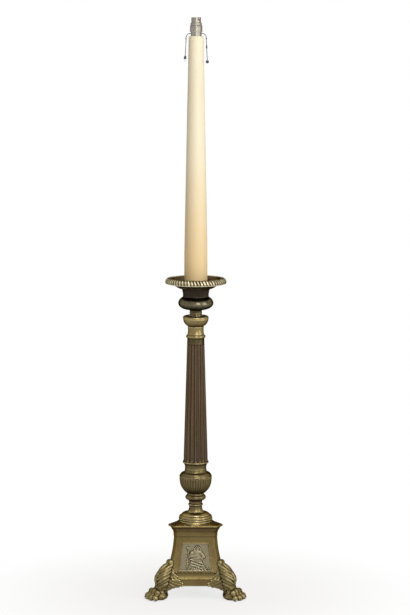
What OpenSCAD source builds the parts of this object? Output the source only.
// Floor lamp in the form of an altar candlestick: a three-sided brass plinth on lion-paw scroll
// legs, a stack of turned brass pieces and a fluted column clamped on one threaded tube, a
// gadrooned drip pan, a candle sleeve and a bayonet lampholder with a two-chain switch.
// Millimetres. +Z up, origin on the floor under the lamp's axis, one plinth face towards -Y.

/* [Plinth] */
// Gap between the floor and the plinth's lower edge
plinth_lift = 40; // [34:0.5:50]
// Height of the plain band round the plinth's foot
band_h = 22; // [16:0.5:28]
// Distance from the axis to each face of the plain band
band_r = 61; // [58:0.5:66]
// Height of the curved moulding above the band
foot_curve_h = 20; // [16:0.5:26]
// How far that moulding stands out at its top
ledge = 1.5; // [1:0.25:3]
// Distance from the axis to each flared face at its foot
flare_foot_r = 56; // [52:0.5:58]
// Height of the flared faces
flare_h = 105; // [96:1:120]
// Distance from the axis to each face at the plinth's top
plinth_top_r = 43.4; // [40:0.1:48]
// Hollow of each flared face, as a share of its length
flare_bow = 0.022; // [0.01:0.001:0.04]
// Width of the canted corners
corner_w = 19; // [16:0.5:24]
// Thickness of the cast wall
wall = 6; // [5:0.5:8]
// Thickness of the plinth's closed top
web_t = 6; // [4:0.5:9]

/* [Window and plaque] */
// Height of each window's lower edge above the ledge
window_lift = 3; // [2:0.5:8]
// Height of the window
window_h = 83; // [70:1:86]
// Width of the window at its foot
window_foot_w = 99; // [85:1:104]
// Width of the window at its head
window_head_w = 76; // [62:1:80]
// Depth from the chord of the face to the plaque
recess = 8; // [7:0.5:10]
// Border of the cast frame behind the window
frame_w = 9; // [8:0.5:11]
// Thickness of the plaque's ground
plaque_t = 4; // [3:0.5:6]
// How far the plaque runs behind the window's edge
plaque_lap = 6; // [5:0.5:7]
// Height of the relief above the plaque's ground
relief_h = 6; // [4:0.5:7]

/* [Cornice] */
// Distance from the axis to each face at the cornice's foot
cornice_foot_r = 44.5; // [43:0.5:47]
// Distance from the axis to each face of the cornice's edge
cornice_r = 58.3; // [55:0.1:62]
// Height of the cornice's plain foot
cornice_foot_h = 4; // [2:0.5:8]
// Height of the cornice's curved moulding
cornice_curve_h = 23; // [18:0.5:28]
// Height of the cornice's upright edge
cornice_edge_h = 11; // [7:0.5:14]
// How much further the cornice's canted corners stand from the axis than its faces do
cornice_gap = 26.5; // [24:0.5:30]
// Rise of the roof from its edge to the seat of the dome
roof_rise = 5; // [3:0.5:9]
// Radius of the round seat for the dome
roof_seat_r = 52.5; // [51.5:0.5:54]

/* [Legs] */
// Distance from the axis to the middle of each paw
paw_reach = 134; // [128:1:140]
// Distance from the middle of a paw to the middle of each toe tip
toe_reach = 30; // [28:0.5:33]
// Radius of each toe tip
toe_r = 10; // [8.5:0.1:11]
// Angle between one toe and the next
toe_angle = 26; // [22:0.5:29]
// Radius of each toe's knuckle
knuckle_r = 12; // [10:0.5:13]
// Half the width of the paw behind its toes
paw_half = 30; // [26:0.5:33]
// How far each leg's knee stands out from the plinth's corner
knee_out = 31.5; // [26:0.5:36]
// Half the width of a leg at its knee
knee_half = 22.5; // [19:0.5:25]
// Radius of the scroll at the leg's top
volute_r = 8.5; // [7:0.5:10]
// Width of that scroll
volute_w = 24; // [18:1:28]
// Height of the scroll's middle above the plinth's lower edge
volute_lift = 70; // [64:1:76]
// Thickness of the leaves that lie on the plinth's faces
leaf_t = 5; // [3:0.5:7]
// Radius of the bolts that hold the legs
bolt_r = 2.5; // [2:0.1:2.7]
// Distance from one bolt of a leg to the other
bolt_gap = 11; // [11:0.5:12]

/* [Dome foot] */
// Radius of the lowest ring
dome_ring_r = 51.5; // [50:0.5:53]
// Height of the lowest ring
dome_ring_h = 5; // [3:0.5:7]
// Radius of the second ring
dome_step_r = 49.8; // [49:0.1:51]
// Height of the second ring
dome_step_h = 4; // [3:0.5:6]
// Radius of the dome where it leaves the rings
dome_r = 48; // [44:0.5:49]
// Height of the dome itself
dome_h = 21; // [15:0.5:24]
// Radius of the dome's small top
dome_top_r = 27.6; // [24:0.5:30]
// Height of the hollow that carries the dome into the knop
dome_neck_h = 3; // [2:0.5:6]

/* [Lower knop] */
// Radius at the knop's foot
knop_foot_r = 22.5; // [21:0.5:24]
// Radius of the two necks
knop_neck_r = 20; // [18:0.5:21]
// Height of the neck below the small ring
knop_low_h = 13; // [8:0.5:16]
// Radius of the small ring
knop_bead_r = 22.6; // [21.5:0.1:25]
// Height of the small ring
knop_bead_h = 6; // [4:0.5:8]
// Height of the neck above the small ring
knop_high_h = 10; // [8:0.5:14]
// Radius of the large ring
knop_ring_r = 31.2; // [28:0.1:34]
// Height of the large ring
knop_ring_h = 20; // [16:0.5:22]
// Radius of the knop's top
knop_top_r = 25.5; // [24:0.5:27]
// Height of the neck between the large ring and the vase
knop_top_h = 3; // [2:0.5:5]

/* [Vase] */
// Radius of the vase's foot
vase_foot_r = 25.5; // [24:0.5:28]
// Radius at the widest place
vase_r = 49.3; // [46:0.1:53]
// Height of the gadrooned bowl
vase_bowl_h = 41; // [38:0.5:48]
// Height of the plain belt round the widest place
vase_belt_h = 11; // [6:0.5:12]
// Radius inside the belt, where the shoulder starts
vase_shoulder_r = 48.3; // [45:0.1:49]
// Height of the shoulder
vase_shoulder_h = 13; // [8:0.5:14]
// Radius of the vase's neck
vase_neck_r = 33.3; // [30:0.1:36]
// Height of the hollow neck
vase_neck_h = 10; // [10:0.5:18]
// Number of gadroons round the bowl
gadroons = 36; // [24:2:44]
// Width of the groove between two gadroons
gadroon_groove_w = 1.4; // [1:0.1:2]
// Depth of that groove
gadroon_groove_d = 1.5; // [1:0.1:2]

/* [Column] */
// Radius of the ring's foot, on the vase
ring_foot_r = 35; // [34:0.5:37]
// Height of the hollow below the ring
ring_foot_h = 7.5; // [6:0.5:12]
// Radius of the large ring under the column
ring_r = 42.4; // [40:0.1:46]
// Height of that ring
ring_h = 14; // [11:0.5:17]
// Height of the slope from the ring up to the column
ring_slope_h = 13.5; // [8:0.5:18]
// Radius of the column at its foot
column_foot_r = 36.2; // [34:0.1:38]
// Radius of the column at its head
column_head_r = 26.1; // [24.5:0.1:28]
// Length of the fluted column
column_h = 350; // [300:1:400]
// Number of flutes
flutes = 16; // [12:2:20]
// Width of a flute as a share of the spacing
flute_share = 0.78; // [0.65:0.01:0.85]
// Plain height left below and above the flutes
flute_margin = 5; // [4:0.5:12]

/* [Collar and cup] */
// Radius of the plain band above the column
collar_band_r = 25.8; // [24.5:0.1:27.5]
// Height of that band
collar_band_h = 5; // [5:0.5:12]
// Radius of the collar's ring
collar_r = 31.2; // [29:0.1:34]
// Height of the ring
collar_ring_h = 14; // [10:0.5:18]
// Height of the taper above the ring
collar_taper_h = 8; // [5:0.5:10]
// Radius of the cup's neck
cup_neck_r = 23.8; // [22.5:0.1:25]
// Height of the cup's neck
cup_neck_h = 21.5; // [16:0.5:26]
// Radius where the bowl of the cup starts
cup_bowl_r = 25.8; // [25:0.5:28]
// Radius of the cup's rim
cup_r = 38.6; // [36:0.1:42]
// Height of the cup's bowl
cup_bowl_h = 24.5; // [20:0.5:28]
// Height of the cup's rim
cup_rim_h = 9; // [7:0.5:12]

/* [Spool, bulb and neck] */
// Radius of the spool's ends
spool_end_r = 21; // [20:0.5:23]
// Radius of the spool's waist
spool_r = 18; // [16.5:0.5:19]
// Height of the spool
spool_h = 18; // [15:0.5:24]
// Radius of the bulb
bulb_r = 53; // [49:0.5:57]
// Height of the bulb's under side
bulb_low_h = 20; // [16:0.5:24]
// Height of the bulb's upper side
bulb_high_h = 19; // [15:0.5:23]
// Radius at the foot of the reeded neck
neck_r = 38.8; // [36:0.1:41]
// Radius near the head of the reeded neck
neck_head_r = 42.4; // [40:0.1:45]
// Height of the reeded neck
neck_h = 26; // [20:0.5:30]
// Number of reeds round the neck
reeds = 44; // [30:2:52]
// Radius of the groove between two reeds
reed_groove_r = 1; // [0.7:0.1:1.3]

/* [Drip pan] */
// Radius of the pan's foot
pan_foot_r = 52; // [48:0.5:56]
// Radius where the pan's under side turns up
pan_under_r = 74; // [68:0.5:78]
// Height of the pan's foot under its floor
pan_foot_h = 5; // [4:0.5:7]
// Thickness of the pan
pan_t = 3.5; // [2.5:0.5:5]
// Radius of the rim's crest
pan_crest_r = 80; // [78:0.5:82]
// Height of the crest above the pan's foot
pan_crest_h = 30.5; // [24:0.5:34]
// Largest radius of the gadrooned rim
pan_r = 92.6; // [89:0.1:96]
// Height of the rim's lower edge above the pan's foot
pan_edge_h = 10; // [8:0.5:13]
// Number of gadroons round the rim
rim_lobes = 40; // [30:2:48]
// Depth of the groove between two rim gadroons
rim_groove_d = 1.5; // [1:0.1:2]
// Width of that groove
rim_groove_w = 1.6; // [1:0.1:2.2]

/* [Candle] */
// Outer radius of the candle sleeve at its foot
candle_foot_r = 34.8; // [33:0.1:37]
// Outer radius where the straight taper starts
candle_waist_r = 33.8; // [32:0.1:36]
// Height of that place above the foot
candle_waist_h = 150; // [100:1:200]
// Outer radius at the candle's top
candle_top_r = 22.3; // [21.5:0.1:24]
// Length of the candle sleeve
candle_h = 738.5; // [600:1:820]
// Wall of the candle sleeve
candle_wall = 3; // [2:0.5:4]
// Thickness of the disc that closes the candle
candle_cap_t = 4; // [3:0.5:6]
// Depth of the disc's plug inside the sleeve
candle_plug_h = 7; // [5:0.5:12]
// Thickness of the cup that centres the sleeve on the pan
seat_t = 2.5; // [2:0.5:4]
// Height of that cup's upstand
seat_h = 14; // [8:0.5:20]

/* [Tube and fixings] */
// Outer radius of the threaded tube
tube_r = 5; // [4:0.25:6]
// Radius of the hole down the tube
tube_bore_r = 3.6; // [2.5:0.1:3.75]
// Radial gap between the tube and what is threaded on it
tube_gap = 0.3; // [0.2:0.05:0.5]
// Length of tube below the plinth's closed top
tube_tail = 24; // [22:1:34]
// Across the flats of the nuts
nut_flats = 19; // [17:0.5:24]
// Height of the nuts
nut_h = 8; // [6:0.5:10]
// Radius of the large washer under the plinth's top
washer_r = 22; // [18:0.5:24]
// Thickness of that washer
washer_t = 4; // [3:0.5:5]
// Radius of the coupler that joins the two tubes
coupler_r = 7.5; // [7:0.25:9]
// Length of the coupler
coupler_h = 30; // [24:1:40]
// Height of the coupler's middle above the pan's floor
coupler_lift = 48; // [40:1:70]
// Radius of the cord hole through the bush
bush_bore_r = 2.9; // [2:0.1:3]
// Radius of the bush's collar
bush_r = 7; // [6:0.25:9]
// Thickness of the bush's collar
bush_collar_h = 4; // [3:0.5:6]
// Length of the bush's stem inside the tube
bush_stem_h = 8; // [6:0.5:12]

/* [Lampholder] */
// Radius of the lampholder's lower cap
holder_cap_r = 16; // [15.6:0.1:16.4]
// Height of the lower cap up to the body
holder_cap_h = 12; // [11.5:0.5:14]
// Radius of the lampholder's body
holder_r = 18.6; // [18.5:0.1:20]
// Height of the body
holder_h = 18.5; // [18:0.5:22]
// Sheet thickness of the lampholder's covers
sheet_t = 1.2; // [1:0.1:1.3]
// Inner radius of the bayonet shell
socket_r = 11.2; // [11.1:0.05:11.3]
// Outer radius of the bayonet shell
shell_r = 14.2; // [13.8:0.1:14.4]
// Length of the shell above the body
shell_h = 24.5; // [22:0.5:28]
// Free depth of the socket above the contacts
socket_h = 13; // [11:0.5:14]
// Width of the slots for the lamp cap's pins
slot_w = 2.6; // [2.4:0.1:3]
// Depth of those slots
slot_h = 8.5; // [7:0.5:9]
// Sideways run at the bottom of each slot
slot_run = 4.2; // [3.5:0.1:4.5]
// Outer radius of the shade ring
ring_out_r = 16.6; // [16.2:0.1:18]
// Height of the shade ring
shade_ring_h = 9; // [6:0.5:10]
// Radial gap between the shade ring and the shell
ring_gap = 0.1; // [0.08:0.01:0.15]
// Depth of the thread on the shell that the shade ring runs on
thread_d = 0.3; // [0.25:0.05:0.4]

/* [Contacts and switch] */
// Distance from the axis to each contact plunger
plunger_x = 4.8; // [4.6:0.1:5]
// Radius of a plunger
plunger_r = 2.2; // [2:0.05:2.4]
// Radial gap round a plunger
plunger_gap = 0.08; // [0.06:0.01:0.1]
// How far the plungers travel
plunger_travel = 3; // [2:0.25:3.5]
// Height of the switch lever's pivot above the candle's top disc
lever_lift = 8; // [7.75:0.25:8.5]
// Thickness of the lever, front to back
lever_w = 3; // [2.5:0.25:3.5]
// Height of the lever's bar
lever_t = 2.2; // [1.8:0.1:2.6]
// Distance from the axis to the eye at each end of the lever
lever_reach = 30; // [28.5:0.25:33]
// Radius of the bend in each arm of the lever
lever_bend_r = 9.5; // [8:0.25:10]
// Drop from the lever's bar to the eye at its end
lever_drop = 15; // [13:0.5:18]
// Radius of the lever's pivot pin
pivot_r = 1.2; // [1:0.05:1.4]
// Radial gap between each pin of the switch and its hole
pivot_gap = 0.06; // [0.04:0.01:0.1]

/* [Pull chains] */
// Radius of the chain's balls
ball_r = 1.4; // [1.2:0.05:1.6]
// Distance from one ball to the next
ball_pitch = 3.3; // [3:0.1:3.6]
// Radius of the wire between the balls
link_r = 0.5; // [0.4:0.05:0.6]
// Number of balls in the left chain
balls = 12; // [10:1:16]
// How many more balls the right chain has
more_balls = 4; // [2:1:6]
// Lean of each chain away from the candle
chain_lean = 3; // [1:0.5:5]
// Radius of the left chain's bell at its mouth
bell_r = 3.6; // [3:0.1:4]
// Height of the bell
bell_h = 10; // [8:0.5:12]
// Radius of the clear bead under the bell
bead_r = 3.8; // [3:0.1:4.2]
// Radius of the right chain's end ball
end_ball_r = 5; // [4:0.1:5.4]
// Radius of the right chain's joining sleeve
joiner_r = 2.2; // [1.9:0.1:2.6]
// Height of that sleeve
joiner_h = 9; // [7:0.5:11]

/* [Hidden] */
$fn = 64;
tiny = 0.01;
gap = 0.2;            // between fixed pieces that slip into each other
spigot_h = 3;         // height of the spigots that centre the turned pieces on each other
land = 6;             // solid ends of the hollow turned pieces
skin = 4;             // wall of the hollow turned pieces
face_yaw = [-90, 30, 150];    // where the plinth's faces look: front, right, left
leg_yaw = [-30, 90, 210];     // where the legs stand: right, rear, left
root3 = sqrt(3);

// heights above the floor, from the bottom up
z_plinth = plinth_lift;
z_band = z_plinth + band_h;
z_flare = z_band + foot_curve_h;
z_cornice = z_flare + flare_h;
z_roof = z_cornice + cornice_foot_h + cornice_curve_h + cornice_edge_h;
z_dome = z_roof + roof_rise;
z_knop = z_dome + dome_ring_h + dome_step_h + dome_h + dome_neck_h;
z_vase = z_knop + knop_low_h + knop_bead_h + knop_high_h + knop_ring_h + knop_top_h;
z_ring = z_vase + vase_bowl_h + vase_belt_h + vase_shoulder_h + vase_neck_h;
z_column = z_ring + ring_foot_h + ring_h + ring_slope_h;
z_collar = z_column + column_h;
z_cup = z_collar + collar_band_h + collar_ring_h + collar_taper_h;
z_spool = z_cup + cup_neck_h + cup_bowl_h + cup_rim_h;
z_bulb = z_spool + spool_h;
z_neck = z_bulb + bulb_low_h + bulb_high_h;
z_pan = z_neck + neck_h;
z_candle = z_pan + pan_foot_h + pan_t;
z_cap = z_candle + candle_h;
z_holder = z_cap + candle_cap_t;
z_body = z_holder + holder_cap_h;
z_body_top = z_body + holder_h;
z_top = z_body_top + shell_h;
z_lever = z_holder + lever_lift;

// plinth outline: points from the foot up, as [distance from the axis, height]
flare_line = bow([flare_foot_r, z_flare], [plinth_top_r, z_cornice], -flare_bow, 10);
plinth_line = concat([[band_r, z_plinth], [band_r, z_band]],
  bow([band_r - 1, z_band], [flare_foot_r + ledge, z_flare - 2], -0.12, 6),
  [[flare_foot_r + ledge, z_flare]], flare_line);
slab_w = 5 * band_r;

// window: its foot and head on the flared face
z_window = z_flare + window_lift;
window_foot_y = line_r(flare_line, z_window);
window_head_y = line_r(flare_line, z_window + window_h);
window_tilt = atan((window_foot_y - window_head_y) / window_h);
window_len = window_h / cos(window_tilt);

// tube ends
z_tube_foot = z_cornice - web_t - tube_tail;
z_join = z_candle + coupler_lift;
holder_entry = 5;             // depth that the tube is screwed into the lampholder

// lampholder inside
cap_rim_r = holder_r - sheet_t - gap;         // outer radius of the cap's screwed rim
cap_rim_h = 6;
block_r = cap_rim_r - sheet_t - gap;          // radius of the switch block
z_block = z_body + sheet_t;
block_h = 8;
z_contacts = z_block + block_h;
contact_flange_h = 4.5;
z_flange = z_contacts + contact_flange_h;     // seat of the bayonet shell's flange
flange_t = z_body_top - sheet_t - z_flange;
z_socket = z_top - socket_h;                  // foot of the free socket bore
groove_h = 0.8;
z_face = z_socket - groove_h - 4.4;           // face of the contact block
plunger_out = 4;                              // how far the plungers stand out of that face
plunger_foot_r = plunger_r + 0.9;
plunger_foot_h = 2;
plunger_neck = 4;                             // length of the narrow guide below the face
plate_t = 1.2;

// chains
eye_r = 1;
hook_drop = 7;
z_eye = z_lever - lever_drop;
z_link = z_eye - hook_drop;

// Points along an arc from a to b; k is its height over its length, and above 0 bulges outwards
function bow(a, b, k, n = 8) = k == 0 ? [a, b] :
  let (len = norm(b - a), along = (b - a) / len, out = [along[1], -along[0]] * sign(k),
       half = 2 * atan(2 * abs(k)), r = len / (2 * sin(half)))
  [for (i = [0:n]) let (t = half * (2 * i / n - 1))
    (a + b) / 2 + along * r * sin(t) + out * r * (cos(t) - cos(half))];

// Points along a quarter ellipse that leaves a level and reaches b upright
function swell(a, b, n = 10) = [for (i = [0:n]) let (t = 90 * i / n)
  [a[0] + (b[0] - a[0]) * sin(t), b[1] + (a[1] - b[1]) * cos(t)]];

// Radius of an outline at height z; its points rise
function line_r(line, z) = lookup(z, [for (p = line) [p[1], p[0]]]);
function grown(line, d) = [for (p = line) [p[0] + d, p[1]]];
function reversed(line) = [for (i = [len(line) - 1:-1:0]) line[i]];

// A slab whose outer face follows an outline and looks along +X
module moulding(line, width) {
  rotate([90, 0, 0]) linear_extrude(height = width, center = true)
    polygon(concat([[-slab_w / 2, line[0][1]]], line, [[-slab_w / 2, line[len(line) - 1][1]]]));
}

// Distance from the axis to a canted corner of a given width, where the faces stand at r
function corner_at(r, width = corner_w) = 2 * r - width * root3 / 2;
function corners(line, width = corner_w) = [for (p = line) [corner_at(p[0], width), p[1]]];

// Three faces and three canted corners with mitred mouldings
module mitred(line, corner_line) {
  intersection_for (i = [0:2]) intersection() {
    rotate([0, 0, face_yaw[i]]) moulding(line, slab_w);
    rotate([0, 0, leg_yaw[i]]) moulding(corner_line, slab_w);
  }
}
// The plinth's outside, grown evenly by d
module plinth_solid(line, d = 0) { mitred(grown(line, d), grown(corners(line), d)); }

// A turned piece: outline, bore, spigot on top and the socket under it that takes one
module turned(line, top_spigot_r, foot_socket_r, hollow = true) {
  foot = line[0][1];
  head = line[len(line) - 1][1];
  inner = tube_r + tube_gap;
  difference() {
    union() {
      rotate_extrude() polygon(concat([[0, foot]], line, [[0, head]]));
      if (top_spigot_r > 0) translate([0, 0, head - tiny])
        cylinder(r = top_spigot_r, h = spigot_h + tiny);
    }
    translate([0, 0, foot - 1]) cylinder(r = inner, h = head - foot + spigot_h + 2);
    if (foot_socket_r > 0) translate([0, 0, foot - 1])
      cylinder(r = foot_socket_r + gap, h = spigot_h + gap + 1);
    if (hollow) hollow_turned(line, foot + spigot_h + land, head - land);
  }
}

// The space inside a hollow turned piece, a wall's width inside its outline
module hollow_turned(line, low, high) {
  steps = 8;
  inner = tube_r + tube_gap;
  rotate_extrude() polygon(concat([[inner, low]],
    [for (i = [0:steps]) let (z = low + (high - low) * i / steps)
      [max(inner + 1, thinnest(line, z) - skin), z]], [[inner, high]]));
}
// Smallest radius of an outline within a wall's width of height z
function thinnest(line, z) = min([for (d = [-skin:skin / 4:skin])
  line_r(line, max(line[0][1], min(line[len(line) - 1][1], z + d)))]);

/* ---- plinth ---- */

// Places its children on a face of the plinth: origin at the window's foot, X along the face,
// Y up the tilted face and Z outwards
module on_face(yaw) {
  rotate([0, 0, yaw + 90]) translate([0, -window_foot_y, z_window])
    rotate([90 - window_tilt, 0, 0]) children();
}

// Window outline grown by a border
module window_outline(border = 0) {
  spread = border / window_len * (window_foot_w - window_head_w) / 2;
  polygon([[-window_foot_w / 2 - border - spread, -border], [window_foot_w / 2 + border + spread, -border],
    [window_head_w / 2 + border - spread, window_len + border],
    [-window_head_w / 2 - border + spread, window_len + border]]);
}

module plaque_screw_places() {
  inset = (frame_w - screw_edge) / 2;
  for (side = [-1, 1]) {
    translate([side * (window_foot_w / 2 + inset), window_len * 0.12, 0]) children();
    translate([side * (window_head_w / 2 + inset), window_len * 0.88, 0]) children();
  }
}
screw_edge = 3;
screw_r = 1.25;
screw_depth = 4;

module leg_bolt_places() {
  for (side = [-1, 1]) translate([0, 0, z_plinth + band_h / 2 + side * bolt_gap / 2])
    rotate([0, 90, 0]) children();
}
corner_r = corner_at(band_r);                 // outer face of the band at each corner
bolt_in = 13;                                 // depth of the bolts in the leg
z_dowel = z_plinth + volute_lift - 16;
dowel_face = corner_at(line_r(flare_line, z_dowel));
dowel_r = 2.5;
dowel_in = 9;                                 // depth of the dowel in the leg
thread_gap = 0.05;                            // room round a bolt's thread and a dowel in the leg
spot_d = 0.4;                                 // depth of the flat seat cut for each washer
bolt_seat = corner_r - wall + spot_d;
bolt_washer_t = 1.6;

module plinth_shell() color("#8a7440") difference() {
  union() {
    difference() {
      plinth_solid(plinth_line);
      plinth_solid(concat([[band_r, z_plinth - 1], [band_r, z_band - wall], [flare_foot_r, z_flare]],
        [for (p = flare_line) if (p[1] > z_flare && p[1] < z_cornice - web_t) p],
        [[line_r(flare_line, z_cornice - web_t), z_cornice - web_t]]), -wall);
    }
    intersection() {
      plinth_solid(plinth_line);
      for (yaw = face_yaw) on_face(yaw) translate([0, 0, -recess])
        linear_extrude(height = recess + 5) window_outline(frame_w);
    }
  }
  for (yaw = face_yaw) on_face(yaw) {
    translate([0, 0, -recess - wall]) linear_extrude(height = recess + wall + 10) window_outline();
    plaque_screw_places() translate([0, 0, -recess - 1]) cylinder(r = screw_r, h = screw_depth + 1);
  }
  for (yaw = leg_yaw) rotate([0, 0, yaw]) {
    leg_bolt_places() {
      translate([0, 0, band_r]) cylinder(r = bolt_r + gap, h = band_r);
      // flat seat for each washer, where the wall leans in
      translate([0, 0, bolt_seat - wall]) cylinder(r = 2 * bolt_r + gap, h = wall);
    }
    translate([flare_foot_r, 0, z_dowel]) rotate([0, 90, 0]) cylinder(r = dowel_r, h = band_r);
  }
  translate([0, 0, z_cornice - web_t - 1]) cylinder(r = tube_r + tube_gap, h = web_t + 2);
}

// Distance from the axis to the roof's edge in direction t, for the canted triangle
function roof_edge(t) = min([for (i = [0:2]) each [
  let (c = cos(t - face_yaw[i])) c > 0.05 ? cornice_r / c : 1e6,
  let (c = cos(t - leg_yaw[i])) c > 0.05 ? (cornice_r + cornice_gap) / c : 1e6]]);

// The roof sweeps up from the canted edge to the dome's round seat
module roof() {
  sides = 72;
  steps = [[-1, 0], [0, 0], [0.25, 0.1], [0.5, 0.32], [0.75, 0.63], [1, 1]];
  last = len(steps) - 1;
  points = [for (s = steps, i = [0:sides - 1])
    let (t = 360 * i / sides, in = max(s[0], 0), r = (roof_edge(t) - 0.4) * (1 - in) + roof_seat_r * in)
    [r * cos(t), r * sin(t), z_roof + (s[0] < 0 ? s[0] : roof_rise * s[1])]];
  polyhedron(points = points, convexity = 4, faces = concat([[for (i = [0:sides - 1]) i]],
    [for (k = [0:last - 1], i = [0:sides - 1]) let (j = (i + 1) % sides, a = k * sides, b = a + sides)
      each [[a + i, b + i, b + j], [a + i, b + j, a + j]]],
    [[for (i = [sides - 1:-1:0]) last * sides + i]]));
}

module cornice_plate() color("#8f7a45") {
  edge_foot = z_roof - cornice_edge_h;
  outside = concat([[cornice_foot_r, z_cornice], [cornice_foot_r, z_cornice + cornice_foot_h]],
    bow([cornice_foot_r + 1.5, z_cornice + cornice_foot_h], [cornice_r - 3, edge_foot], -0.16, 8),
    [[cornice_r, edge_foot], [cornice_r, z_roof]]);
  inside = [[cornice_foot_r - wall, z_cornice - 1], [cornice_foot_r - wall, edge_foot - wall],
    [cornice_r - 2 * wall, edge_foot], [cornice_r - 2 * wall, z_roof - wall / 2]];
  difference() {
    union() {
      mitred(outside, grown(outside, cornice_gap));
      roof();
    }
    mitred(inside, grown(inside, cornice_gap));
    cylinder(r = tube_r + tube_gap, h = z_dome + 1);
  }
}

/* ---- plaque with a robed figure in relief ---- */

module limb(a, b, ra, rb, z = 0, sides = 8) hull() {
  translate([a[0], a[1], z]) sphere(r = ra, $fn = sides);
  translate([b[0], b[1], z]) sphere(r = rb, $fn = sides);
}

// A robed figure with folded arms, a flowering staff and a rocky ground; the field is 86 high
module robed_figure() {
  low = relief_h * 0.45;
  scale(window_len / 86) {
    linear_extrude(height = low) polygon(concat([[-21, 1], [23, 1], [21, 22]],
      bow([17, 34], [11, 60], 0.1, 4), bow([-10, 60], [-15, 34], 0.1, 4), [[-20, 20]]));
    limb([0, 61], [0, 64], 5, 6.4, low, 14);
    limb([0, 68], [0, 71], 8.4, 6.5, low * 0.6, 14);
    limb([10, 55], [17, 42], 4.6, 4, low * 0.6);
    limb([17, 42], [2, 37], 3.8, 3, low);
    limb([-9, 55], [-16, 43], 4.6, 4, low * 0.6);
    limb([-16, 43], [-2, 46], 3.8, 3, low);
    for (i = [0:2]) limb([-12 + 3 * i, 51 - 6 * i], [14 + i, 34 - 6 * i], 2.6, 2, low * 0.8);
    for (i = [-2:2]) limb([4 * i, 24], [8.5 * i + 1, 4], 2, 3, low * 0.6);
    limb([-25, 5], [-20, 66], 1.6, 1.4, 1);
    for (t = [0:72:288]) limb([-20, 70], [-20 + 6 * cos(t), 70 + 6 * sin(t)], 2.6, 2.2, 1);
    for (i = [-3:3]) limb([11 * i - 2, 0], [11 * i + 3, 1], 3.5, 3, 0);
  }
}

module relief_plaque(yaw) color("#9a9468") on_face(yaw) translate([0, 0, -recess]) {
  difference() {
    translate([0, 0, -plaque_t]) linear_extrude(height = plaque_t) window_outline(plaque_lap);
    plaque_screw_places() translate([0, 0, -plaque_t - 1]) cylinder(r = screw_r + gap, h = plaque_t + 2);
  }
  intersection() {
    robed_figure();
    linear_extrude(height = relief_h) window_outline(-1.5);
  }
}
module relief_plaque_front() relief_plaque(face_yaw[0]);
module relief_plaque_right() relief_plaque(face_yaw[1]);
module relief_plaque_left() relief_plaque(face_yaw[2]);

module plaque_screws() color("#6e675c") for (yaw = face_yaw) on_face(yaw)
  plaque_screw_places() translate([0, 0, -recess - plaque_t]) {
    cylinder(r = screw_r, h = plaque_t + screw_depth - 0.5);
    translate([0, 0, -1.5]) cylinder(r = 2 * screw_r, h = 1.5);
  }

/* ---- scroll legs with lion paws ---- */

leg_sides = 20;
knee_r = corner_r + knee_out;                 // outermost point of a leg above its paw
volute_x = corner_at(line_r(flare_line, z_plinth + volute_lift)) + 3;
// Sections of the leg from the floor up: height, outer radius, radial half, lateral half
leg_rings = [
  [14, knee_r + 4, 20, 0.93 * knee_half], [z_plinth - 10, knee_r + 1, 19, 0.88 * knee_half],
  [z_plinth + 2, knee_r - 3, 18, 0.84 * knee_half], [z_plinth + 12, knee_r - 2, 21.5, 0.95 * knee_half],
  [z_plinth + 24, knee_r, 25, knee_half], [z_plinth + 36, knee_r - 5, 24, 0.91 * knee_half],
  [z_plinth + 48, knee_r - 15, 20, 0.75 * knee_half], [z_plinth + 58, knee_r - 26, 15, 0.62 * knee_half],
  [z_plinth + volute_lift - 4, volute_x + 10, 10, volute_w / 2]];

function leg_point(ring, t) = let (lobe = 1 + 0.035 * cos(8 * t))
  [ring[1] - ring[2] + ring[2] * lobe * cos(t), ring[3] * lobe * sin(t), ring[0]];

module leg_scroll() {
  n = leg_sides;
  last = len(leg_rings) - 1;
  polyhedron(convexity = 6,
    points = [for (ring = leg_rings, i = [0:n - 1]) leg_point(ring, 360 * i / n)],
    faces = concat([[for (i = [0:n - 1]) i]],
      [for (k = [0:last - 1], i = [0:n - 1]) let (j = (i + 1) % n, a = k * n, b = a + n)
        each [[a + i, b + i, b + j], [a + i, b + j, a + j]]],
      [[for (i = [n - 1:-1:0]) last * n + i]]));
}

module toe(t) {
  tip = [paw_reach + toe_reach * cos(t), toe_reach * 1.05 * sin(t), toe_r - 1];
  knuckle = [paw_reach + toe_reach * 0.5 * cos(t), toe_reach * 0.8 * sin(t), 2 * knuckle_r];
  hull() {
    translate(tip) sphere(r = toe_r, $fn = 12);
    translate(knuckle) sphere(r = knuckle_r, $fn = 12);
    translate([knuckle[0] - 10, knuckle[1] * 0.8, toe_r]) sphere(r = toe_r, $fn = 8);
  }
  hull() {
    translate(knuckle) sphere(r = knuckle_r - 1, $fn = 10);
    translate([paw_reach - 14, toe_reach * 0.45 * sin(t), 2 * knuckle_r]) sphere(r = knuckle_r, $fn = 10);
  }
  translate(tip + [cos(t) * (toe_r - 3), sin(t) * (toe_r - 3), 0]) rotate([0, 115, t])
    cylinder(r1 = 4, r2 = 1.5, h = 5, $fn = 8);
}

// The pad behind the toes
module palm() translate([paw_reach - 4, 0, 0]) intersection() {
  scale([1.05, 1, 0.85]) sphere(r = paw_half, $fn = 28);
  cylinder(r = 2 * paw_half, h = paw_half);
}

// Leaf lobes that lie on a face of the plinth: distance from the face's edge, height and radius
leaf_lobes = [[4, 58, 9], [8, 46, 12], [12, 33, 14], [20, 22, 14], [30, 13, 12], [38, 7, 9], [6, 12, 16]];
module leaf_outline() for (lobe = leaf_lobes)
  translate([band_r * root3 - corner_w - lobe[0], z_plinth + lobe[1]]) circle(r = lobe[2], $fn = 16);

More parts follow.
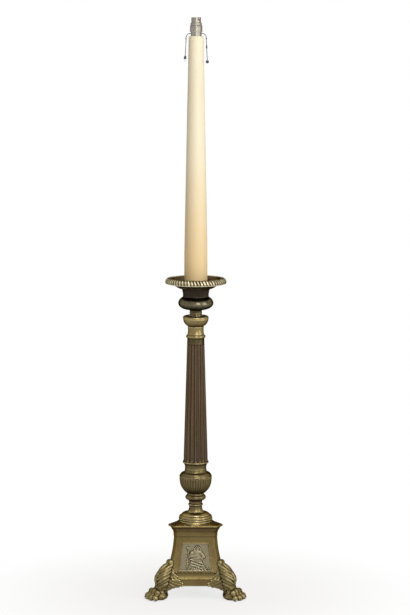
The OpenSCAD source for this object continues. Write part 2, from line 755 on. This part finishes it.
module leaf_pair() intersection() {
  rotate([0, 0, 30]) plinth_solid(plinth_line, leaf_t);
  for (k = [0, 1]) mirror([0, k, 0]) rotate([0, 0, -60]) rotate([90, 0, 90])
    linear_extrude(height = slab_w / 2) leaf_outline();
}

module paw_leg(yaw) color("#7d6a3c") rotate([0, 0, yaw]) difference() {
  union() {
    leg_scroll();
    translate([volute_x, volute_w / 2, z_plinth + volute_lift]) rotate([90, 0, 0])
      cylinder(r = volute_r, h = volute_w, $fn = 24);
    translate([volute_x, volute_w / 2 + 2, z_plinth + volute_lift]) rotate([90, 0, 0])
      cylinder(r = volute_r * 0.4, h = volute_w + 4, $fn = 12);
    for (i = [-1.5:1:1.5]) toe(i * toe_angle);
    palm();
    leaf_pair();
  }
  rotate([0, 0, 30]) plinth_solid(plinth_line);
  translate([0, 0, -50]) cylinder(r = slab_w, h = 50);
  leg_bolt_places() cylinder(r = bolt_r + thread_gap, h = corner_r + bolt_in + 0.5);
  translate([0, 0, z_dowel]) rotate([0, 90, 0])
    cylinder(r = dowel_r + thread_gap, h = dowel_face + dowel_in);
}
module paw_leg_right() paw_leg(leg_yaw[0]);
module paw_leg_rear() paw_leg(leg_yaw[1]);
module paw_leg_left() paw_leg(leg_yaw[2]);

module leg_bolts() color("#57534c") for (yaw = leg_yaw) rotate([0, 0, yaw])
  leg_bolt_places() translate([0, 0, bolt_seat - bolt_washer_t]) {
    cylinder(r = bolt_r, h = corner_r - bolt_seat + bolt_washer_t + bolt_in);
    translate([0, 0, -3.5]) cylinder(r = 1.8 * bolt_r, h = 3.5, $fn = 6);
  }
module leg_washers() color("#6e675c") for (yaw = leg_yaw) rotate([0, 0, yaw])
  leg_bolt_places() translate([0, 0, bolt_seat - bolt_washer_t]) difference() {
    cylinder(r = 2 * bolt_r, h = bolt_washer_t);
    translate([0, 0, -1]) cylinder(r = bolt_r + gap, h = bolt_washer_t + 2);
  }
module leg_dowels() color("#6e675c") for (yaw = leg_yaw) rotate([0, 0, yaw])
  translate([dowel_face - wall, 0, z_dowel]) rotate([0, 90, 0])
    cylinder(r = dowel_r, h = wall + dowel_in - 0.5);

/* ---- turned pieces ---- */

small_spigot = knop_neck_r - 8;
large_spigot = column_head_r - 12.5;

module dome_foot() color("#a08a50") {
  ring_top = z_dome + dome_ring_h;
  step_top = ring_top + dome_step_h;
  dome_top = step_top + dome_h;
  turned(concat(bow([dome_ring_r - 1, z_dome], [dome_ring_r - 1, ring_top], 0.2, 6),
    bow([dome_step_r - 0.8, ring_top], [dome_step_r - 0.8, step_top], 0.2, 6),
    bow([dome_r, step_top], [dome_top_r, dome_top], 0.12, 12),
    bow([dome_top_r - 1, dome_top], [knop_foot_r, z_knop], -0.12, 4)), small_spigot, 0);
}

module lower_knop() color("#8a7440") {
  bead_foot = z_knop + knop_low_h;
  bead_top = bead_foot + knop_bead_h;
  ring_foot = bead_top + knop_high_h;
  ring_top = ring_foot + knop_ring_h;
  turned(concat(bow([knop_foot_r, z_knop], [knop_neck_r, bead_foot], -0.12, 6),
    bow([knop_neck_r, bead_foot], [knop_neck_r, bead_top], (knop_bead_r - knop_neck_r) / knop_bead_h, 8),
    bow([knop_neck_r, bead_top], [knop_neck_r + 1.5, ring_foot], -0.08, 6),
    bow([knop_neck_r + 4, ring_foot], [knop_top_r + 1, ring_top],
      (knop_ring_r - (knop_neck_r + knop_top_r + 5) / 2) / knop_ring_h, 12),
    bow([knop_top_r, ring_top], [knop_top_r, z_vase], -0.1, 4)), small_spigot, small_spigot);
}

module gadroon_vase() color("#8f7a45") {
  belt_foot = z_vase + vase_bowl_h;
  belt_top = belt_foot + vase_belt_h;
  shoulder_top = belt_top + vase_shoulder_h;
  bowl = bow([vase_foot_r, z_vase], [vase_r - 0.8, belt_foot], 0.125, 12);
  difference() {
    turned(concat(bowl, bow([vase_r, belt_foot + 0.5], [vase_r, belt_top], 0.03, 3),
      bow([vase_shoulder_r, belt_top], [vase_neck_r + 3, shoulder_top], 0.18, 8),
      bow([vase_neck_r + 1.4, shoulder_top], [vase_neck_r + 0.4, z_ring], -0.1, 6)),
      large_spigot, small_spigot);
    for (i = [0:gadroons - 1]) rotate([0, 0, 360 * i / gadroons]) rotate([90, 0, 0])
      linear_extrude(height = gadroon_groove_w, center = true)
        polygon(concat([[vase_r + 5, z_vase + 2], [vase_r + 5, belt_foot - 2]],
          reversed(grown([for (p = bowl) if (p[1] > z_vase + 3 && p[1] < belt_foot - 2) p],
            -gadroon_groove_d))));
  }
}

module column_base_ring() color("#8a7440") {
  ring_foot = z_ring + ring_foot_h;
  ring_top = ring_foot + ring_h;
  turned(concat(bow([ring_foot_r - 1.5, z_ring], [ring_foot_r + 0.5, ring_foot], -0.1, 6),
    bow([ring_foot_r + 2.5, ring_foot], [column_foot_r + 3, ring_top],
      (ring_r - (ring_foot_r + column_foot_r + 5.5) / 2) / ring_h, 10),
    bow([column_foot_r + 2.2, ring_top], [column_foot_r + 0.3, z_column], -0.05, 4)),
    large_spigot, large_spigot);
}

// Flutes are tapered hollows with round ends, leaning with the column's side
function column_r(z) = column_foot_r + (column_head_r - column_foot_r) * (z - z_column) / column_h;
function flute_r(z) = PI * column_r(z) / flutes * flute_share;

module fluted_column() color("#57432f") {
  low = z_column + flute_margin;
  high = z_collar - flute_margin;
  low_r = flute_r(low);
  high_r = flute_r(high);
  run = high - low - low_r - high_r;
  lean = atan((column_foot_r - column_head_r) / column_h);
  difference() {
    turned([[column_foot_r, z_column], [column_head_r, z_collar]], large_spigot, large_spigot);
    for (i = [0:flutes - 1]) rotate([0, 0, 360 * (i + 0.5) / flutes])
      translate([column_r(low) + low_r * 0.35, 0, low + low_r]) rotate([0, -lean, 0]) {
        cylinder(r1 = low_r, r2 = high_r, h = run, $fn = 32);
        sphere(r = low_r, $fn = 32);
        translate([0, 0, run]) sphere(r = high_r, $fn = 32);
      }
  }
}

module column_collar() color("#a08a50") {
  ring_foot = z_collar + collar_band_h;
  ring_top = ring_foot + collar_ring_h;
  turned(concat([[collar_band_r, z_collar], [collar_band_r, ring_foot]],
    bow([collar_band_r + 0.8, ring_foot], [collar_band_r + 1.2, ring_top],
      (collar_r - collar_band_r - 1) / collar_ring_h, 12),
    bow([collar_band_r, ring_top], [cup_neck_r + 1, z_cup], -0.1, 4)), large_spigot, large_spigot);
}

module capital_cup() color("#a08a50") {
  bowl_foot = z_cup + cup_neck_h;
  rim_foot = bowl_foot + cup_bowl_h;
  turned(concat(bow([cup_neck_r + 1, z_cup], [cup_neck_r + 1, bowl_foot], -0.05, 8),
    bow([cup_bowl_r, bowl_foot], [cup_r - 0.6, rim_foot], 0.115, 10),
    bow([cup_r, rim_foot], [cup_r, rim_foot + cup_rim_h / 2], 0.04, 2),
    bow([cup_r - 0.3, rim_foot + cup_rim_h / 2], [cup_r - 5, z_spool], 0.2, 6)),
    small_spigot, large_spigot);
}

module spool_neck() color("#7d6a3c") {
  middle = z_spool + spool_h / 2;
  turned(concat([[spool_end_r, z_spool], [spool_end_r, z_spool + 1.5]],
    bow([spool_end_r - 1, z_spool + 1.5], [spool_r, middle - 1.5], -0.1, 5),
    bow([spool_r + 0.4, middle - 1.5], [spool_r + 0.4, middle + 1.5], 0.3, 5),
    bow([spool_r, middle + 1.5], [spool_end_r, z_bulb], -0.14, 6)), small_spigot, small_spigot, false);
}

module bulb_knop() color("#7d6a3c") {
  middle = z_bulb + bulb_low_h;
  turned(concat(swell([spool_end_r + 0.5, z_bulb], [bulb_r, middle], 12),
    bow([bulb_r, middle], [neck_r + 0.5, z_neck], 0.11, 10)), large_spigot, small_spigot);
}

module reeded_neck() color("#3f3424") {
  lean = atan((neck_head_r - neck_r) / neck_h);
  difference() {
    turned(concat(bow([neck_r, z_neck], [neck_head_r, z_pan - 2], -0.05, 8),
      [[pan_foot_r, z_pan]]), large_spigot, large_spigot);
    for (i = [0:reeds - 1]) rotate([0, 0, 360 * i / reeds])
      translate([neck_r + reed_groove_r * 0.2, 0, z_neck + 1.5]) rotate([0, lean, 0])
        cylinder(r = reed_groove_r, h = neck_h - 6, $fn = 16);
  }
}

/* ---- drip pan and candle ---- */

module drip_pan() color("#8f7a45") {
  z_floor = z_pan + pan_foot_h;
  z_crest = z_pan + pan_crest_h;
  z_edge = z_pan + pan_edge_h;
  under = bow([pan_foot_r + 1, z_pan + 1], [pan_under_r, z_floor + 1], 0.06, 4);
  rim = bow([pan_r - 1, z_edge], [pan_crest_r, z_crest], 0.24, 10);
  dish = bow([pan_crest_r - pan_t, z_crest - 1], [pan_under_r - pan_t, z_floor + pan_t + 2], 0.1, 6);
  hollow = bow([pan_r - 2 * pan_t, z_edge + pan_t], [pan_crest_r + 1, z_crest - 1.5 * pan_t], 0.2, 5);
  difference() {
    rotate_extrude($fn = 96) polygon(concat([[0, z_pan], [pan_foot_r, z_pan]], under,
      [[pan_r - 2, z_edge]], rim, dish, [[pan_foot_r, z_floor + pan_t], [0, z_floor + pan_t]]));
    rotate_extrude($fn = 96) polygon(concat([[pan_under_r + 1, z_pan - 1], [pan_r - pan_t - 1, z_pan - 1],
      [pan_r - pan_t - 1, z_edge]], hollow, [[pan_under_r + 1, z_floor + 2 * pan_t]]));
    translate([0, 0, z_pan - 1]) cylinder(r = tube_r + tube_gap, h = pan_crest_h);
    translate([0, 0, z_pan - 1]) cylinder(r = large_spigot + gap, h = spigot_h + gap + 1);
    for (i = [0:rim_lobes - 1]) rotate([0, 0, 360 * (i + 0.5) / rim_lobes]) rotate([90, 0, 0])
      linear_extrude(height = rim_groove_w, center = true) polygon(concat(
        [[pan_crest_r, z_crest + 5], [pan_r + 5, z_crest + 5], [pan_r + 5, z_edge - 1], [pan_r - 2, z_edge - 1]],
        [for (p = rim) p - rim_groove_d * [cos(rim_turn(p[1])), sin(rim_turn(p[1]))]]));
  }
}
// Direction in which the rim faces at height z
function rim_turn(z) = 85 * (z - z_pan - pan_edge_h) / (pan_crest_h - pan_edge_h);

candle_line = concat(bow([candle_foot_r, z_candle], [candle_waist_r, z_candle + candle_waist_h], 0.002, 4),
  [[candle_top_r, z_cap]]);
seat_r = candle_foot_r - candle_wall - 1;

module candle_seat() color("#b08d4f") difference() {
  union() {
    translate([0, 0, z_candle]) cylinder(r = seat_r, h = seat_t);
    translate([0, 0, z_candle]) difference() {
      cylinder(r = seat_r, h = seat_h);
      translate([0, 0, -1]) cylinder(r = seat_r - seat_t, h = seat_h + 2);
    }
  }
  translate([0, 0, z_candle - 1]) cylinder(r = tube_r + tube_gap, h = seat_t + 2);
}

module candle_sleeve() color("#efe0b8") rotate_extrude($fn = 96)
  polygon(concat(candle_line, reversed(grown(candle_line, -candle_wall))));

plug_r = line_r(candle_line, z_cap - candle_plug_h) - candle_wall - gap;
boss_r = tube_r + 3;
module candle_cap() color("#f1e4c2") difference() {
  union() {
    rotate_extrude() polygon(concat([[0, z_cap], [candle_top_r, z_cap]],
      bow([candle_top_r, z_cap + candle_cap_t * 0.3], [candle_top_r - candle_cap_t, z_holder], 0.2, 6),
      [[0, z_holder]]));
    translate([0, 0, z_cap - candle_plug_h])
      cylinder(r = candle_top_r - candle_wall - gap, h = candle_plug_h + tiny);
  }
  translate([0, 0, z_cap - candle_plug_h - 1]) cylinder(r = boss_r + gap, h = candle_plug_h + candle_cap_t + 2);
}

/* ---- tube and fixings ---- */

module pipe(foot, head) difference() {
  translate([0, 0, foot]) cylinder(r = tube_r, h = head - foot);
  translate([0, 0, foot - 1]) cylinder(r = tube_bore_r, h = head - foot + 2);
}
module stem_tube() color("#8c8778") pipe(z_tube_foot, z_join);
module candle_tube() color("#8c8778") pipe(z_join, z_holder + holder_entry);
module tube_coupler() color("#8c8778") translate([0, 0, z_join - coupler_h / 2]) difference() {
  cylinder(r = coupler_r, h = coupler_h);
  translate([0, 0, -1]) cylinder(r = tube_r + 0.05, h = coupler_h + 2);
}
module nut(foot) translate([0, 0, foot]) difference() {
  cylinder(r = nut_flats / root3, h = nut_h, $fn = 6);
  translate([0, 0, -1]) cylinder(r = tube_r + 0.05, h = nut_h + 2);
}
module base_washer() color("#6e675c") translate([0, 0, z_cornice - web_t - washer_t]) difference() {
  cylinder(r = washer_r, h = washer_t);
  translate([0, 0, -1]) cylinder(r = tube_r + tube_gap, h = washer_t + 2);
}
module base_nut() color("#6e675c") nut(z_cornice - web_t - washer_t - nut_h);
module pan_nut() color("#b08d4f") nut(z_candle + seat_t);
module cord_bush() color("#2b2a28") difference() {
  union() {
    translate([0, 0, z_tube_foot - bush_collar_h]) cylinder(r = bush_r, h = bush_collar_h);
    translate([0, 0, z_tube_foot - tiny]) cylinder(r = tube_bore_r - 0.05, h = bush_stem_h + tiny);
  }
  translate([0, 0, z_tube_foot - bush_collar_h - 1]) cylinder(r = bush_bore_r, h = bush_collar_h + bush_stem_h + 2);
}

/* ---- lampholder ---- */

lever_turn = 7;                               // room for the lever's travel, a little over it
module lampholder_cap() color("#b9ad92") difference() {
  union() {
    translate([0, 0, z_holder]) cylinder(r = holder_cap_r, h = holder_cap_h + sheet_t);
    translate([0, 0, z_body]) cylinder(r = cap_rim_r, h = cap_rim_h);
    translate([0, 0, z_cap - candle_plug_h]) cylinder(r = boss_r, h = candle_plug_h + candle_cap_t + tiny);
  }
  translate([0, 0, z_holder + holder_entry]) cylinder(r = holder_cap_r - sheet_t, h = holder_cap_h);
  translate([0, 0, z_block]) cylinder(r = block_r + gap, h = cap_rim_h + 1);
  translate([0, 0, z_cap - candle_plug_h - 1]) cylinder(r = tube_r + 0.05, h = candle_plug_h + 40);
  translate([-slab_w / 2, -lever_w / 2 - 0.7, z_lever - lever_room])
    cube([slab_w, lever_w + 1.4, 2 * lever_room]);
}
lever_room = lever_t / 2 + (holder_cap_r + 1) * sin(lever_turn);

module lampholder_body() color("#c9c6ba") difference() {
  rotate_extrude() polygon(concat([[0, z_body], [holder_r, z_body], [holder_r, z_body_top - 3]],
    bow([holder_r, z_body_top - 3], [holder_r - 2, z_body_top], 0.18, 4), [[0, z_body_top]]));
  translate([0, 0, z_body - 1]) cylinder(r = holder_r - sheet_t, h = holder_h - sheet_t + 1);
  cylinder(r = shell_r + gap, h = z_body_top + 1);
}

module bayonet_slot() {
  translate([-slot_w / 2, -shell_r - 2, z_top - slot_h]) cube([slot_w, shell_r, slot_h + 1]);
  translate([-slot_w / 2, -shell_r - 2, z_top - slot_h]) cube([slot_w + slot_run, shell_r, slot_w]);
  translate([slot_run - slot_w / 2, -shell_r - 2, z_top - slot_h]) cube([slot_w, shell_r, slot_w + 1]);
}

module bayonet_shell() color("#bdbab0") difference() {
  union() {
    translate([0, 0, z_flange]) cylinder(r = shell_r - thread_d, h = z_top - z_flange);
    translate([0, 0, z_body_top + shade_ring_h])
      cylinder(r = shell_r, h = z_top - z_body_top - shade_ring_h);
    translate([0, 0, z_flange]) cylinder(r = block_r, h = flange_t);
  }
  translate([0, 0, z_flange - 1]) cylinder(r = socket_r, h = z_top);
  translate([0, 0, z_socket - groove_h]) cylinder(r = socket_r + 0.5, h = groove_h);
  for (turn = [26, 206]) rotate([0, 0, turn]) bayonet_slot();
}

module shade_ring() color("#c9c6ba") rotate_extrude() polygon(concat(
  [[shell_r + ring_gap, z_body_top], [ring_out_r + 0.8, z_body_top], [ring_out_r + 0.8, z_body_top + 2],
   [ring_out_r, z_body_top + 2.6]],
  bow([ring_out_r, z_body_top + shade_ring_h - 2.5], [shell_r + ring_gap + 0.8, z_body_top + shade_ring_h], 0.15, 4),
  [[shell_r + ring_gap, z_body_top + shade_ring_h]]));

lug_t = 2.5;
lug_y = lever_w / 2 + 0.4;
module switch_block() color("#3a2f26") difference() {
  union() {
    translate([0, 0, z_block]) cylinder(r = block_r, h = block_h);
    for (side = [0, 1]) mirror([0, side, 0])
      translate([-4, lug_y, z_lever - 2.5]) cube([8, lug_t, z_block - z_lever + 2.5 + tiny]);
  }
  translate([0, slab_w / 2, z_lever]) rotate([90, 0, 0]) cylinder(r = pivot_r, h = slab_w);
}
module lever_pivot() color("#6e675c") translate([0, lug_y + lug_t, z_lever]) rotate([90, 0, 0])
  cylinder(r = pivot_r, h = 2 * (lug_y + lug_t));

module contact_block() color("#ece8dc") difference() {
  union() {
    translate([0, 0, z_contacts]) cylinder(r = block_r, h = contact_flange_h);
    translate([0, 0, z_contacts]) cylinder(r = socket_r - gap, h = z_face - z_contacts);
  }
  for (side = [-1, 1]) translate([side * plunger_x, 0, 0]) {
    translate([0, 0, z_contacts - 1]) cylinder(r = plunger_r + plunger_gap, h = z_top - z_contacts);
    translate([0, 0, z_contacts - 1]) cylinder(r = plunger_foot_r + 0.2, h = z_face - plunger_neck - z_contacts + 1);
  }
}

module terminal_plates() color("#b08d4f") for (side = [-1, 1])
  translate([side * plunger_x, 0, z_contacts]) cylinder(r = plunger_foot_r, h = plate_t);

module plunger(side) color("#c2a15c") translate([side * plunger_x, 0, z_face - plunger_neck]) {
  translate([0, 0, -plunger_foot_h]) cylinder(r = plunger_foot_r, h = plunger_foot_h);
  cylinder(r = plunger_r, h = plunger_neck + plunger_out - 1);
  translate([0, 0, plunger_neck + plunger_out - 1]) cylinder(r1 = plunger_r, r2 = plunger_r - 0.8, h = 1);
}
module plunger_left() plunger(-1);
module plunger_right() plunger(1);

// A coil as one unbroken tube
spring_r = 2;
spring_wire_r = 0.3;
spring_turns = 4;
module spring(foot, head) {
  steps = spring_turns * 10;
  sides = 5;
  rise = head - foot - 2 * spring_wire_r;
  points = [for (i = [0:steps], k = [0:sides - 1]) let (t = 36 * i, s = 72 * k,
      r = spring_r + spring_wire_r * cos(s))
    [r * cos(t), r * sin(t), foot + spring_wire_r + rise * i / steps + spring_wire_r * sin(s)]];
  polyhedron(points = points, convexity = 8, faces = concat([[for (k = [sides - 1:-1:0]) k]],
    [for (i = [0:steps - 1], k = [0:sides - 1]) let (n = (k + 1) % sides, a = i * sides, b = a + sides)
      each [[a + k, a + n, b + n], [a + k, b + n, b + k]]],
    [[for (k = [0:sides - 1]) steps * sides + k]]));
}
module plunger_spring(side) color("#9a9a98") translate([side * plunger_x, 0, 0])
  spring(z_contacts + plate_t, z_face - plunger_neck - plunger_foot_h);
module plunger_spring_left() plunger_spring(-1);
module plunger_spring_right() plunger_spring(1);

/* ---- switch lever and chains ---- */

module lever_arm() {
  bend_x = lever_reach - lever_bend_r;
  translate([0, -lever_t / 2]) square([bend_x, lever_t]);
  translate([bend_x, -lever_bend_r]) intersection() {
    difference() {
      circle(r = lever_bend_r + lever_t / 2);
      circle(r = lever_bend_r - lever_t / 2);
    }
    square(2 * lever_bend_r);
  }
  translate([lever_reach - lever_t / 2, -lever_drop]) square([lever_t, lever_drop - lever_bend_r]);
  translate([lever_reach, -lever_drop]) circle(r = eye_r + 1.1, $fn = 32);
}

module switch_lever() color("#5a4632") translate([0, lever_w / 2, z_lever]) rotate([90, 0, 0])
  linear_extrude(height = lever_w) difference() {
    union() {
      for (side = [0, 1]) mirror([side, 0]) lever_arm();
      circle(r = pivot_r + 1.1, $fn = 32);
    }
    circle(r = pivot_r + pivot_gap, $fn = 32);
    for (side = [-1, 1]) translate([side * lever_reach, -lever_drop]) circle(r = eye_r + pivot_gap, $fn = 32);
  }

hook_gap = 0.4;
hook_t = 0.9;
// A bail on the lever's eye, with a tongue below it for the chain
module chain_hook(side) color("#4a4238") translate([side * lever_reach, 0, 0]) {
  cheek = lever_w / 2 + hook_gap;
  translate([0, cheek + hook_t, z_eye]) rotate([90, 0, 0]) cylinder(r = eye_r, h = 2 * (cheek + hook_t));
  for (k = [0, 1]) mirror([0, k, 0]) translate([-1.2, cheek, z_eye - 4]) cube([2.4, hook_t, 4]);
  translate([-1.2, -cheek - hook_t, z_eye - 4.6]) cube([2.4, 2 * (cheek + hook_t), 1]);
  difference() {
    translate([-tongue_t / 2, -1.5, z_link - 1.5]) cube([tongue_t, 3, z_eye - 4.2 - z_link + 1.5]);
    translate([-2, 0, z_link]) rotate([0, 90, 0]) cylinder(r = eye_r * 0.6 + pivot_gap, h = 4, $fn = 32);
  }
}
tongue_t = 1;
module chain_hook_left() chain_hook(-1);
module chain_hook_right() chain_hook(1);

// The chain hangs from a pin through the hook's tongue; z runs down from that pin
module on_chain(side) {
  translate([side * lever_reach, 0, z_link]) rotate([0, -side * chain_lean, 0]) children();
}
clevis_h = 4.2;
module clevis() {
  gap_x = tongue_t / 2 + 0.3;
  translate([-gap_x - 0.8, 0, 0]) rotate([0, 90, 0]) cylinder(r = eye_r * 0.6, h = 2 * (gap_x + 0.8), $fn = 32);
  for (k = [0, 1]) mirror([k, 0, 0]) translate([gap_x, -1.1, -clevis_h + 0.6]) cube([0.8, 2.2, clevis_h + 0.5]);
  translate([-gap_x - 0.8, -1.1, -clevis_h]) cube([2 * (gap_x + 0.8), 2.2, 1]);
}

chain_len = clevis_h + balls * ball_pitch;
module pull_chain(count) {
  clevis();
  translate([0, 0, -clevis_h - count * ball_pitch])
    cylinder(r = link_r, h = count * ball_pitch + 0.5, $fn = 24);
  for (i = [1:count]) translate([0, 0, -clevis_h - (i - 0.5) * ball_pitch]) sphere(r = ball_r, $fn = 24);
}
module pull_chain_left() color("#b9b5a8") on_chain(-1) pull_chain(balls);

// The right chain is longer, and a sleeve is crimped on it part way down
joiner_at = clevis_h + 3 * ball_pitch;
right_len = chain_len + more_balls * ball_pitch;
module pull_chain_right() color("#b9b5a8") on_chain(1) pull_chain(balls + more_balls);
module chain_joiner() color("#4b3a44") on_chain(1) translate([0, 0, -joiner_at - joiner_h]) difference() {
  cylinder(r = joiner_r, h = joiner_h);
  translate([0, 0, -1]) cylinder(r = ball_r + 0.03, h = joiner_h + 2);
}

module chain_bell() color("#2f2c28") on_chain(-1) translate([0, 0, -chain_len - bell_h])
  rotate_extrude() polygon(concat([[0, 0], [bell_r, 0]],
    bow([bell_r, 0], [1.6, bell_h], 0.12, 8), [[0, bell_h]]));
module chain_bead() color("#e8e6dd") on_chain(-1)
  translate([0, 0, -chain_len - bell_h - bead_r]) sphere(r = bead_r);
module chain_end_ball() color("#2f2c28") on_chain(1)
  translate([0, 0, -right_len - end_ball_r]) sphere(r = end_ball_r);

plinth_shell();
cornice_plate();
relief_plaque_front();
relief_plaque_right();
relief_plaque_left();
plaque_screws();
paw_leg_right();
paw_leg_rear();
paw_leg_left();
leg_bolts();
leg_washers();
leg_dowels();
dome_foot();
lower_knop();
gadroon_vase();
column_base_ring();
fluted_column();
column_collar();
capital_cup();
spool_neck();
bulb_knop();
reeded_neck();
drip_pan();
candle_seat();
candle_sleeve();
candle_cap();
stem_tube();
candle_tube();
tube_coupler();
base_washer();
base_nut();
pan_nut();
cord_bush();
lampholder_cap();
lampholder_body();
bayonet_shell();
shade_ring();
switch_block();
contact_block();
terminal_plates();
plunger_left();
plunger_right();
plunger_spring_left();
plunger_spring_right();
switch_lever();
lever_pivot();
chain_hook_left();
chain_hook_right();
pull_chain_left();
pull_chain_right();
chain_bell();
chain_bead();
chain_joiner();
chain_end_ball();
